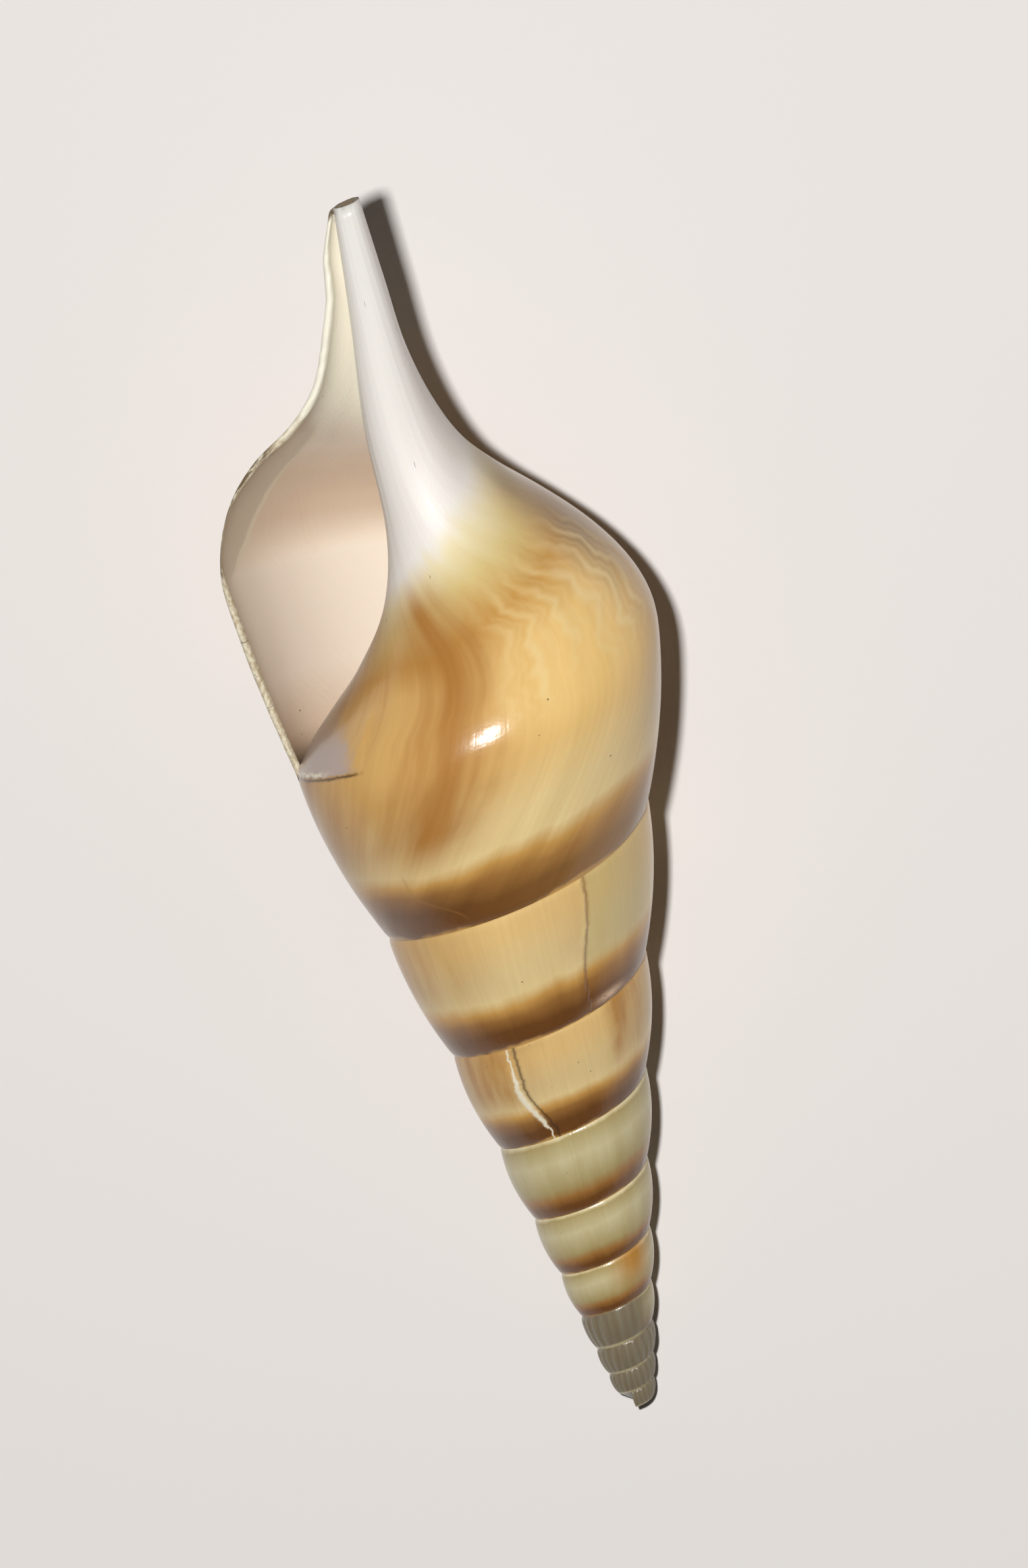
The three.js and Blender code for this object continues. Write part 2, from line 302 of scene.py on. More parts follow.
def relief(turn, s):
    """All of the relief at a place: growth lines, ridges, ribs, scars, callus and sutures."""
    side = window(s, 0, 1, SIDE_MARGIN)
    keep = np.where(s > 1, smooth_step((turn + 1.0) / 0.04), side)
    if turn > -1:
        keep = np.where(s > 0.5, smooth_step((turn + 1.0) / 0.04), side)
    line = growth_line(turn, s)
    size = GROWTH ** (turn / 2)
    height = keep * size * (0.030 * noise(line * 21, 1) + 0.022 * noise(line * 53, 2))
    height += keep * size * 0.05 * noise(turn * 5, s * 2 + 40)
    height += ridges(turn, s)
    if turn < RIB_START:
        ribbed = smooth_step((RIB_START - turn) / 0.3) * GROWTH ** ((turn - RIB_START) / 2)
        rib = (0.5 + 0.5 * math.cos(2 * np.pi * RIBS * turn)) ** 1.4 - 0.4
        height += RIB_HEIGHT * ribbed * rib * window(s, 0, 1, 0.16)
    if -3 < turn < -2.4:
        height += healed(turn, long_scar(s), 0.24, 0.05) * side
    if -1.9 < turn < -1.3:
        height += healed(turn, fine_scar(s), 0.17, 0.02) * side
    if -1.1 < turn < -0.8:
        height += callus(turn, s) * (s > 1)
    height += groove(turn, 1 - s / GROOVE_REACH)
    above = groove(turn + 1, 1 - (1 - s) / GROOVE_REACH)
    below = groove(turn + 1, 1 - (s - 1) / 0.03)
    return height + np.where(s <= 1, above, below)


def direction_along(section, s):
    """The outline's direction at s, of length 1."""
    along = section.at(np.minimum(s + SLOPE_STEP, 2)) - section.at(np.maximum(s - SLOPE_STEP, 0))
    return along / np.linalg.norm(along, axis=1)[:, None]


def rounded(section, turn, s):
    """The outline with the last whorl's shoulder eased where its side meets its base."""
    points = section.at(s)
    if turn <= -1:
        return points
    offsets = np.linspace(-SHOULDER_REACH, SHOULDER_REACH, 9)
    shares = SHOULDER_REACH * 1.1 - np.abs(offsets)
    eased = sum(section.at(np.clip(s + o, 0, 2)) * w for o, w in zip(offsets, shares)) / shares.sum()
    amount = smooth_step((turn + 1) / 0.15) * np.exp(-(((s - 1.02) / 0.25) ** 2))
    return points + (eased - points) * amount[:, None]


def surface_outline(section, turn, s):
    """The outside with its relief. On a whorl's side it stands straight out from the axis."""
    points = rounded(section, turn, s)
    along = direction_along(section, s)
    normal = np.stack([-along[:, 1], along[:, 0]], 1)
    leaning = smooth_step((s - 1) / 0.1)[:, None]
    out = normal * leaning + np.array([0, 1]) * (1 - leaning)
    return points + out * relief(turn, s)[:, None]


# ---- The hollow ----

def wall_thickness(turn):
    """Thin at the lip, thicker behind it, and thinner again further up the spire."""
    rise = smooth_step(-turn / THICKENING_TURNS)
    return (LIP_THICKNESS + (WALL_THICKNESS - LIP_THICKNESS) * rise) * WALL_GROWTH ** turn


def floor_range(turn, floor):
    """Where the hollow starts and ends on the whorl before, in s."""
    if turn == 0:
        return 1.0, 2.0
    reach = CORNER_REACH * wall_thickness(turn) * smooth_step(-turn / THICKENING_TURNS)
    closed = CANAL_FILLED * smooth_step(-turn / CANAL_CLOSING_TURNS)
    return floor.s_at(suture(turn)[0] + reach), 2 - closed


def inner_outline(turn, outer, floor):
    """The wall's inner face at a turn, bent at both ends to meet the floor."""
    start, end = floor_range(turn, floor)
    corner, seam = floor.at(start)[0], floor.at(end)[0]
    first = 0.0 if turn == 0 else outer.s_at(corner[0])
    last = 2.0 if turn == 0 else outer.s_at(seam[0])
    share = WHOLE / 2
    s = first + (last - first) * share
    along = direction_along(outer, s)
    points = outer.at(s)
    thickness = np.minimum(wall_thickness(turn), (points[:, 0] - suture(turn)[0]) / CORNER_REACH)
    points = points + np.stack([along[:, 1], -along[:, 0]], 1) * thickness[:, None]
    near_corner = np.maximum(1 - share / CORNER_BEND, 0)[:, None] ** 2
    near_seam = smooth_step(1 - (1 - share) / SEAM_BEND)[:, None]
    points += (corner - points[0]) * near_corner + (seam - points[-1]) * near_seam
    points[0], points[-1] = corner, seam
    return points, s


# ---- The shell's surface as one closed mesh ----

def place_at(turn, points):
    """Swings (along, out) rows round the axis to a turn; the lip is at -X."""
    angle = 2 * np.pi * turn
    t, r = points[..., 0], points[..., 1]
    return np.stack([-r * np.cos(angle), t, r * np.sin(angle)], -1)


class Surface:
    """Collects patches of triangles, each corner with its turn, s, kind and floor."""

    def __init__(self):
        self.places, self.marks, self.faces = [], [], []
        self.count = 0

    def add(self, places, marks, faces):
        self.places.append(np.asarray(places).reshape(-1, 3))
        self.marks.append(np.asarray(marks).reshape(-1, 4))
        self.faces.append(np.asarray(faces) + self.count)
        self.count += len(self.places[-1])

    def sheet(self, places, marks, faces_in=False):
        """A grid of places, outline by outline."""
        height, width = places.shape[:2]
        i, j = np.meshgrid(np.arange(height - 1), np.arange(width - 1), indexing="ij")
        a = (i * width + j).ravel()
        b = a + width
        faces = np.concatenate([np.stack([a, b, b + 1], 1), np.stack([a, b + 1, a + 1], 1)])
        self.add(places, marks, faces[:, ::-1] if faces_in else faces)

    def fan(self, ring, centre, mark):
        """A ring closed to its centre."""
        count = len(ring)
        i = np.arange(count)
        faces = np.stack([i, (i + 1) % count, np.full(count, count)], 1)
        self.add(np.vstack([ring, centre]), np.tile(mark, (count + 1, 1)), faces)

    def bridge(self, long, short, mark):
        """Two outlines with the same ends and unequal counts, joined across."""
        faces, j = [], 0
        for i in range(len(long) - 1):
            after = round((i + 1) * (len(short) - 1) / (len(long) - 1))
            faces.append((i + 1, i, len(long) + j))
            if after > j:
                faces.append((len(long) + after, i + 1, len(long) + j))
                j = after
        places = np.vstack([long, short])
        self.add(places, np.tile(mark, (len(places), 1)), faces)

    def welded(self):
        """Vertices, triangles without slivers, and each corner's marks."""
        places = np.vstack(self.places)
        marks = np.vstack(self.marks)
        faces = np.vstack(self.faces)
        near = np.round(places, 5)
        _, first, index = np.unique(near, axis=0, return_index=True, return_inverse=True)
        joined = index.ravel()[faces]
        a, b, c = joined.T
        kept = (a != b) & (b != c) & (c != a)
        return places[first], joined[kept], marks[faces[kept]]


OUTSIDE, INSIDE, RIM = 0.0, 1.0, 2.0  # kinds of place
MARKS = ["turn", "along", "kind", "floor"]  # what each corner is marked with


def sweep(turns, params):
    """The outside's outlines at some turns, with their marks."""
    places, marks = [], []
    for turn in turns:
        outline = surface_outline(Section(turn), turn, np.asarray(params, float))
        places.append(place_at(turn, outline))
        marks.append([(turn, s, OUTSIDE, 0.0) for s in params])
    return np.array(places), np.array(marks)


def hollow_outlines():
    """The wall's inner face and the floor under it, which is the whorl before, with marks."""
    deep = round(INNER_TURNS * STEPS)
    fine = round(INNER_FINE * STEPS)
    inner, floors, inner_marks, floor_marks = [], [], [], []
    for turn in [*steps(-deep, -fine - 1, DEEP_STRIDE), *steps(-fine, 0)]:
        outer, floor = Section(turn), Section(turn - 1)
        points, s = inner_outline(turn, outer, floor)
        start, end = floor_range(turn, floor)
        under_s = start + (end - start) * (BASE - 1)
        under = place_at(turn - 1, surface_outline(floor, turn - 1, under_s))
        inner.append(place_at(turn, points))
        under[0], under[-1] = inner[-1][0], inner[-1][-1]
        floors.append(under)
        inner_marks.append([(turn, value, INSIDE, 0.0) for value in s])
        floor_marks.append([(turn - 1, value, INSIDE, 1.0) for value in under_s])
    return [np.array(x) for x in (inner, inner_marks, floors, floor_marks)]


def chips(s, deeper):
    """How far the lip's edge is broken back at s, in turns."""
    radius = np.interp(s, WHOLE, Section(0).at(WHOLE)[:, 1])
    rough = 0.30 + 0.5 * window(s, 0.95, 1.4, 0.1)
    depth = rough * (0.5 + 0.5 * noise(s * 17, 13)) + 0.12 * noise(s * 43, 17)
    depth += 0.45 * window(s, 0.36, 0.915, 0.015) + 0.25 * window(s, 0.02, 0.36, 0.05)
    depth += deeper * (0.16 + 0.14 * noise(s * 31, 29))
    return depth * window(s, 0, 2, 0.03) / (2 * np.pi * np.maximum(radius, 3))


def chipped(places, turns, s, deeper):
    """Draws a sheet's last outlines back so that its edge is broken."""
    near = np.maximum(1 + turns / CHIP_REACH, 0)[:, None] ** 2
    wanted = turns[:, None] - chips(s, deeper)[None, :] * near
    number = np.interp(wanted, turns, np.arange(len(turns)))
    low = np.minimum(np.floor(number).astype(int), len(turns) - 2)
    share = (number - low)[..., None]
    column = np.arange(len(s))[None, :]
    return places[low, column] * (1 - share) + places[low + 1, column] * share


def grow():
    """The whole surface: spire, last whorl, hollow, lip, canal tip and apex."""
    surface = Surface()
    surface.sheet(*sweep(steps(FIRST_STEP, -STEPS), SIDE))
    body, body_marks = sweep(steps(-STEPS, 0), WHOLE)
    body = chipped(body, steps(-STEPS, 0), WHOLE, 0)
    surface.sheet(body, body_marks)
    inner, inner_marks, floor, floor_marks = hollow_outlines()
    inner = chipped(inner, inner_marks[:, 0, 0], WHOLE, 1)
    surface.sheet(inner, inner_marks, faces_in=True)
    surface.sheet(floor, floor_marks)
    surface.bridge(inner[0], floor[0], (-INNER_TURNS, 1, INSIDE, 0.0))
    rim = add_rim(surface, body[-1], inner[-1])
    add_tip(surface, np.vstack([body[:, -1], rim[1:-1, -1]]))
    add_apex(surface)
    return surface.welded()


def add_rim(surface, outer, inner):
    """The lip's edge, rounded and rough between the outer and the inner face."""
    across = np.linspace(0, 1, RIM_ROWS + 1)[:, None, None]
    places = outer + (inner - outer) * across
    thickness = np.linalg.norm(inner - outer, axis=1)[None, :, None]
    number = np.arange(RIM_ROWS + 1)[:, None]
    rough = 0.42 + 0.12 * noise(WHOLE[None, :] * 37, number * 1.7 + 50)[..., None]
    places = places + np.array([0, 0, 1]) * thickness * rough * np.sin(np.pi * across)
    rows_across = range(RIM_ROWS + 1)
    marks = np.array([[(0.0, s, RIM, row / RIM_ROWS) for s in WHOLE] for row in rows_across])
    surface.sheet(places, marks)
    return places


def add_tip(surface, ring):
    """The canal's broken end: a ragged cup. A ring inside it has a share of its size and a depth."""
    centre = ring.mean(0)
    rings = [ring]
    for share, depth in [(0.8, 0.05), (0.62, 0.5), (0.35, 0.7)]:
        inner = centre + (ring - centre) * share
        inner[:, 1] -= depth + 0.12 * noise(np.linspace(0, 24, len(ring)), share * 9)
        rings.append(inner)
    rings = [np.vstack([r, r[:1]]) for r in rings]
    places = np.array(rings)[::-1]
    marks = np.tile((0.0, 2.0, RIM, 0.5), (*places.shape[:2], 1))
    surface.sheet(places, marks)
    surface.fan(places[0][:-1], places[0].mean(0), (0.0, 2.0, RIM, 0.5))


def add_apex(surface):
    """Closes the spire's first turn, across its first outline and along its suture."""
    rim = sweep(steps(FIRST_STEP, FIRST_STEP + STEPS), [0.0])[0][:, 0]
    first = steps(FIRST_STEP, FIRST_STEP)[0]
    across = place_at(first, surface_outline(Section(first), first, SIDE)[1:-1])
    ring = np.vstack([across, rim[::-1]])
    centre = np.array([0, ring[:, 1].min() - APEX_RISE, 0])
    surface.fan(ring, centre, (FIRST_TURN, 0.5, OUTSIDE, 0.0))


def laid(directions):
    """Turns the shell's own frame to how it lies."""
    roll = Matrix.Rotation(REST_ROLL, 3, "Y")
    tilt = Matrix.Rotation(REST_TILT, 3, "X")
    return np.asarray(directions) @ np.array(tilt @ roll).T


def at_rest(places):
    """Lies the shell down on its small flat, centred on the CAD box, in metres."""
    places = laid(places)
    places[:, 2] = np.maximum(places[:, 2] - places[:, 2].min(), REST_WEAR) - REST_WEAR
    centre = (places.min(0) + places.max(0)) / 2
    low, high = (np.array(corner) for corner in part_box("shell"))
    offset = (low + high) / 2 * 1000 - centre
    offset[2] = low[2] * 1000
    return (places + offset) / 1000, offset


def shell_mesh():
    places, faces, marks = grow()
    places, offset = at_rest(places)
    mesh = bpy.data.meshes.new("spindle_shell")
    mesh.from_pydata(places.tolist(), [], faces.tolist())
    for column, name in enumerate(MARKS):
        layer = mesh.attributes.new(name, "FLOAT", "CORNER")
        layer.data.foreach_set("value", marks[:, :, column].ravel().astype(np.float32))
    mesh.shade_smooth()
    mesh.validate()
    piece = bpy.data.objects.new("spindle_shell", mesh)
    bpy.context.collection.objects.link(piece)
    return piece, offset


# ---- Enamel ----

def srgb(red, green, blue):
    """A colour as seen, from 0 to 255, as Blender's linear numbers."""
    levels = np.array([red, green, blue]) / 255
    linear = np.where(levels <= 0.04045, levels / 12.92, ((levels + 0.055) / 1.055) ** 2.4)
    return (*(float(level) for level in linear), 1.0)


BAND = srgb(122, 78, 38)
BAND_EDGE = srgb(172, 122, 64)
PALE = srgb(250, 224, 164)
CARAMEL = srgb(254, 214, 140)
OCHRE = srgb(218, 168, 92)
FLAME = srgb(182, 126, 62)
# A brown used only for painted shade on the last whorl's sides.
SHADE_UMBER = srgb(136, 98, 52)
OLIVE = srgb(230, 208, 145)
CREAM = srgb(240, 226, 184)
PILLAR = srgb(243, 236, 228)
PEARL = srgb(236, 232, 226)
YOUNG = srgb(186, 168, 116)
STRAW = srgb(216, 205, 162)
AMBER = srgb(196, 138, 58)
GREY = srgb(136, 127, 106)
LILAC = srgb(184, 166, 158)
SMOKE = srgb(122, 100, 74)
CHALK = srgb(236, 226, 200)
SOOT = srgb(72, 52, 38)
BEIGE = srgb(248, 233, 215)
ROSE = srgb(232, 208, 182)
IVORY = srgb(250, 244, 224)
SHADE = srgb(206, 194, 172)
FRACTURE = srgb(196, 178, 146)
DAB = srgb(226, 190, 156)
RIND = srgb(112, 92, 66)

# Colour from the suture (s = 0) over the periphery to the canal's tip (s = 2).
ZONES = [
    (0.0, OCHRE), (0.02, BAND), (0.13, BAND), (0.25, BAND_EDGE), (0.33, OCHRE), (0.41, PALE),
    (0.6, PALE), (0.85, CARAMEL), (1.2, CARAMEL), (1.3, OCHRE), (1.4, OLIVE), (1.47, CREAM),
    (1.53, PILLAR), (2.0, PEARL),
]
YOUNG_ZONES = [
    (0.0, OCHRE), (0.03, BAND), (0.12, BAND), (0.23, BAND_EDGE), (0.36, YOUNG), (0.7, STRAW),
    (0.94, YOUNG), (1.0, CREAM),
]
# Colour inside, by s. The ROSE stretch from 1.08 to 1.24 is a painted shade band where the wall
# folds in at the shoulder.
INNER_ZONES = [
    (0.0, SHADE), (0.12, ROSE), (0.45, BEIGE), (0.95, BEIGE), (1.08, ROSE), (1.24, ROSE),
    (1.36, BEIGE), (1.5, IVORY), (2.0, IVORY),
]
# How far the inside's pale growth line lies behind the lip by s, in tenths of a turn.
INNER_LINE = [(0.90, 0.0), (0.98, 0.46), (1.05, 0.76), (1.14, 0.9), (1.3, 0.9), (1.42, 0.7)]
WHITE = (1.0, 1.0, 1.0, 1)
STREAK = (0.90, 0.86, 0.80, 1)  # what the streaks and the threads tint by, at their darkest
THREAD = (0.92, 0.90, 0.87, 1)
# How dark the orange flames are, along the spiral, by the growth line's turn.
FLAMES = [
    (-3.4, 0.2), (-3.15, 0.6), (-2.95, 0.95), (-2.84, 0.85), (-2.815, 0.4), (-2.665, 0.25),
    (-2.645, 0.9), (-2.6, 0.85), (-2.56, 0.5), (-2.3, 0.4), (-2.0, 0.8), (-1.9, 0.65), (-1.82, 0.35),
    (-1.77, 0.14), (-1.685, 0.3), (-1.675, 0.0), (-1.5, 0.2), (-1.3, 0.5), (-1.13, 0.8),
    (-1.06, 0.85), (-1.0, 0.7), (-0.96, 0.75), (-0.915, 1.0), (-0.875, 0.85), (-0.845, 0.25),
    (-0.8, 0.02), (-0.72, 0.06), (-0.63, 0.5), (-0.45, 0.6), (-0.25, 0.3), (0.0, 0.5),
]


class Graph:
    """Short names for the shader nodes of one material."""

    def __init__(self, material):
        material.use_nodes = True
        self.tree = material.node_tree
        self.shader = self.tree.nodes["Principled BSDF"]

    def put(self, socket, value):
        """Links a socket, or sets a plain value."""
        if isinstance(value, bpy.types.NodeSocket):
            self.tree.links.new(value, socket)
        elif value is not None:
            socket.default_value = value

    def attribute(self, name):
        node = self.tree.nodes.new("ShaderNodeAttribute")
        node.attribute_name = name
        return node.outputs["Fac"]

    def math(self, operation, *values):
        node = self.tree.nodes.new("ShaderNodeMath")
        node.operation = operation
        for socket, value in zip(node.inputs, values):
            self.put(socket, value)
        return node.outputs[0]

    def step(self, value, low, high):
        """From 0 at low to 1 at high, smoothly; low may be the larger."""
        node = self.tree.nodes.new("ShaderNodeMapRange")
        node.interpolation_type = "SMOOTHSTEP"
        for name, setting in [("Value", value), ("From Min", low), ("From Max", high)]:
            self.put(node.inputs[name], setting)
        return node.outputs[0]

    def between(self, value, low, high, soft):
        """1 between low and high, fading to 0 at both."""
        rise = self.step(value, low, low + soft)
        return self.math("MULTIPLY", rise, self.step(value, high, high - soft))

    def bump_at(self, value, centre, width):
        """A bell of height 1 round a centre, which may be a socket."""
        away = self.math("DIVIDE", self.math("SUBTRACT", value, centre), width)
        return self.math("EXPONENT", self.math("MULTIPLY", self.math("MULTIPLY", away, away), -1.0))

    def times(self, *values):
        product = values[0]
        for value in values[1:]:
            product = self.math("MULTIPLY", product, value)
        return product

    def noise(self, x, y, z, detail=2.0, roughness=0.5):
        """Noise from 0 to 1 in a space whose axes are given already scaled."""
        combine = self.tree.nodes.new("ShaderNodeCombineXYZ")
        for socket, value in zip(combine.inputs, (x, y, z)):
            self.put(socket, value)
        node = self.tree.nodes.new("ShaderNodeTexNoise")
        node.inputs["Scale"].default_value = 1.0
        node.inputs["Detail"].default_value = detail
        node.inputs["Roughness"].default_value = roughness
        self.tree.links.new(combine.outputs[0], node.inputs["Vector"])
        return node.outputs["Fac"]

    def ramp(self, value, stops, low, high, interpolation="LINEAR"):
        """A colour or a level by place, with stops given as (place, colour or level)."""
        scaled = self.math("DIVIDE", self.math("SUBTRACT", value, low), high - low)
        node = self.tree.nodes.new("ShaderNodeValToRGB")
        node.color_ramp.interpolation = interpolation
        elements = node.color_ramp.elements
        while len(elements) < len(stops):
            elements.new(0.5)
        for element, (place, level) in zip(elements, stops):
            element.position = (place - low) / (high - low)
            element.color = level if isinstance(level, tuple) else (level, level, level, 1)
        self.put(node.inputs["Fac"], scaled)
        return node.outputs["Color"]

    def mix(self, share, first, second, blend="MIX"):
        node = self.tree.nodes.new("ShaderNodeMix")
        node.data_type = "RGBA"
        node.blend_type = blend
        self.put(node.inputs["Factor"], share)
        self.put(node.inputs[6], first)
        self.put(node.inputs[7], second)
        return node.outputs[2]


class Enamel:
    """The shell's one finish, painted by place: turn, s (along), kind and floor."""

    def __init__(self, material):
        self.g = g = Graph(material)
        self.turn, self.s = g.attribute("turn"), g.attribute("along")
        self.kind, self.floor = g.attribute("kind"), g.attribute("floor")
        levels = [(place, 0.5 + lean) for place, lean in LEAN]
        lean = g.math("SUBTRACT", g.ramp(self.s, levels, 0.0, 2.0, "B_SPLINE"), 0.5)
        self.line = g.math("SUBTRACT", self.turn, g.times(g.step(self.turn, -1.4, -1.0), lean))
        self.wide = g.noise(g.times(self.turn, 7.0), g.times(self.s, 3.0), 1.0, 3.0)
        self.streaks = g.noise(g.times(self.line, 26.0), g.times(self.s, 1.1), 5.0, 3.0, 0.5)
        self.threads = g.noise(g.times(self.line, 190.0), g.times(self.s, 1.6), 9.0, 2.0)
        self.fleck = g.noise(g.times(self.turn, 150.0), g.times(self.s, 60.0), 14.0, 2.0)
        colour = self.outside()
        colour = g.mix(g.step(self.kind, 0.3, 0.6), colour, self.inside())
        colour = g.mix(g.step(self.kind, 1.4, 1.6), colour, self.rim())
        colour = g.mix(self.specks(), colour, SOOT)
        g.put(g.shader.inputs["Base Color"], colour)
        self.finish()

    def outside(self):
        """Bands and zones by s, under the flames, streaks, ridges, scars and glaze."""
        g = self.g
        shift = g.times(g.math("SUBTRACT", self.wide, 0.5), 0.13)
        fray = g.times(g.math("SUBTRACT", self.streaks, 0.5), 0.07)
        s = g.math("ADD", self.s, g.math("ADD", shift, fray))
        colour = g.ramp(s, ZONES, 0.0, 2.0)
        spire = g.times(g.step(self.turn, -1.45, -1.62), g.step(s, 0.3, 0.5))
        colour = g.mix(g.times(spire, 0.26), colour, STRAW)
        colour = self.with_painted_shade_and_wear(self.with_flames(colour))
        young = g.step(self.turn, -3.05, -3.5)
        colour = g.mix(young, colour, g.ramp(s, YOUNG_ZONES, 0.0, 1.0))
        colour = g.mix(self.orange_patch(), colour, AMBER)
        colour = g.mix(g.step(self.turn, -6.5, -6.7), colour, self.ribbed())
        calm = g.step(self.s, 1.5, 1.3)
        streaked = g.ramp(self.streaks, [(0.3, STREAK), (0.7, WHITE)], 0.0, 1.0)
        colour = g.mix(g.times(calm, 0.8), colour, streaked, "MULTIPLY")
        threaded = g.ramp(self.threads, [(0.3, THREAD), (0.7, WHITE)], 0.0, 1.0)
        colour = g.mix(g.times(calm, 0.6), colour, threaded, "MULTIPLY")
        colour = self.with_ridges(colour)
        colour = self.with_scars(colour)
        return self.with_glaze(colour)

    def with_flames(self, colour):
        """Brown flames along the growth lines, which darken the band where they cross it."""
        g = self.g
        wave = g.times(g.math("SUBTRACT", self.wide, 0.5), 0.05)
        strength = g.ramp(g.math("ADD", self.line, wave), FLAMES, -3.4, 0.0)
        drift = g.step(self.streaks, 0.30, 0.66)
        strength = g.times(strength, g.math("ADD", g.times(drift, 0.5), 0.5))
        strength = g.times(strength, g.step(self.s, 0.28, 0.62), g.step(self.s, 1.53, 1.40))
        colour = g.mix(strength, colour, FLAME)
        dim = g.times(g.step(self.s, 0.36, 0.2), g.ramp(self.line, FLAMES, -3.4, 0.0))
        return g.mix(g.times(dim, 0.3), colour, SOOT)

    def with_painted_shade_and_wear(self, colour):
        """Painted shade on the last whorl's sides and on its canal, a painted paler stretch on its
        band, and a smoky worn patch on its base.
        """
        g = self.g
        # Partly the shell's own darker brown and partly painted shade: the last whorl's left side,
        # darkened where it turns away from the light.
        painted_shade = g.times(g.between(self.turn, -1.45, -0.84, 0.2), g.step(self.s, 1.55, 1.35))
        colour = g.mix(g.times(painted_shade, 0.58), colour, SHADE_UMBER)
        # Painted shade: the last whorl's right side, darkened where it turns away from the light.
        painted_shade = g.times(g.between(self.turn, -0.60, -0.2, 0.13), g.between(self.s, 0.3, 1.45, 0.3))
        colour = g.mix(g.times(painted_shade, 0.42), colour, SHADE_UMBER)
        # Painted light: the band made paler and golden here, in place of light.
        painted_light = g.times(g.bump_at(self.turn, -0.62, 0.12), g.step(self.s, 0.38, 0.24), 0.3)
        colour = g.mix(painted_light, colour, OCHRE)
        # Painted shade: lilac-grey on the right side of the canal's column, where it turns away from
        # the light.
        mauve_painted_shade = g.times(g.between(self.turn, -0.68, -0.25, 0.14), g.step(self.s, 1.42, 1.6), 0.4)
        colour = g.mix(mauve_painted_shade, colour, LILAC)
        worn = g.times(g.between(self.turn, -0.58, -0.34, 0.08), g.between(self.s, 1.05, 1.6, 0.2))
        return g.mix(g.times(worn, g.step(self.wide, 0.2, 0.6), 0.6), colour, SMOKE)

    def orange_patch(self):
        """The one orange stain on the early whorls."""
        g = self.g
        return g.times(g.bump_at(self.turn, -5.655, 0.07), g.step(self.s, 0.1, 0.8), 0.9)

    def ribbed(self):
        """The first whorls: grey, with paler ribs and no bands."""
        g = self.g
        wave = g.math("COSINE", g.math("MULTIPLY", self.turn, 2 * math.pi * RIBS))
        ribs = g.mix(g.step(wave, -0.6, 0.9), g.mix(0.25, GREY, SMOKE), GREY)
        return g.mix(g.step(self.s, 0.12, 0.02), ribs, STRAW)

    def with_ridges(self, colour):
        """Pale scalloped lines on the last whorl's base."""
        g = self.g
        wander = g.noise(g.times(self.line, 9.0), g.times(self.s, 11.0), 3.0, 2.0)
        place = g.math("ADD", self.line, g.times(g.math("SUBTRACT", wander, 0.5), 0.075))
        tooth = g.math("FRACT", g.math("DIVIDE", place, RIDGE_PITCH))
        line = g.math("ADD", g.bump_at(tooth, 0.3, 0.2), g.times(g.bump_at(tooth, 0.75, 0.12), 0.4))
        zone = g.times(g.between(self.line, -0.89, -0.61, 0.08), g.between(self.s, 0.92, 1.42, 0.16))
        zone = g.times(zone, g.step(self.wide, 0.3, 0.6))
        return g.mix(g.times(line, zone, 0.55), colour, PALE)

    def with_scars(self, colour):
        """The long scar with a painted shadow beside its crack, the fine scar with paler shell after
        it, and a faint seam.
        """
        g = self.g
        jag = g.noise(g.times(self.s, 16.0), 3.0, 2.0, 2.0)
        jag = g.times(g.math("SUBTRACT", jag, 0.5), 0.012)
        lean = g.times(g.step(self.s, 0.0, 0.6), LONG_SCAR_LEAN)
        long = g.math("ADD", g.math("ADD", lean, LONG_SCAR + 0.003), jag)
        width = g.math("ADD", g.times(g.between(self.s, 0.02, 0.8, 0.3), 0.003), 0.0012)
        crack = g.bump_at(self.turn, g.math("SUBTRACT", long, 0.003), width)
        # Painted shadow: a dark line beside the crack, where the new shell steps down.
        painted_scar_shadow = g.bump_at(self.turn, g.math("ADD", long, 0.009), 0.003)
        colour = g.mix(g.times(painted_scar_shadow, 0.7), colour, SOOT)
        colour = g.mix(g.math("MINIMUM", g.times(crack, 1.6), 1.0), colour, CHALK)
        swing = g.times(g.math("SINE", g.times(self.s, 5.2)), -0.008)
        fine = g.math("ADD", g.math("ADD", swing, FINE_SCAR + 0.001), g.times(jag, 0.7))
        colour = g.mix(g.times(g.bump_at(self.turn, fine, 0.003), 0.6), colour, BAND)
        newer = g.step(self.turn, fine, g.math("ADD", fine, 0.004))
        newer = g.times(newer, g.step(self.turn, -1.52, -1.62))
        colour = g.mix(g.times(newer, g.step(self.s, 0.3, 0.45), 0.45), colour, YOUNG)
        dab = g.times(g.bump_at(self.turn, -1.645, 0.024), g.bump_at(self.s, 0.055, 0.035))
        colour = g.mix(g.times(dab, g.step(self.fleck, 0.2, 0.5)), colour, DAB)
        seam = g.math("ADD", g.times(g.step(self.s, 0.3, 0.05), 0.05), -0.858)
        faint = g.times(g.bump_at(self.turn, seam, 0.002), g.between(self.s, 0.03, 0.45, 0.08), 0.3)
        return g.mix(faint, colour, BAND_EDGE)

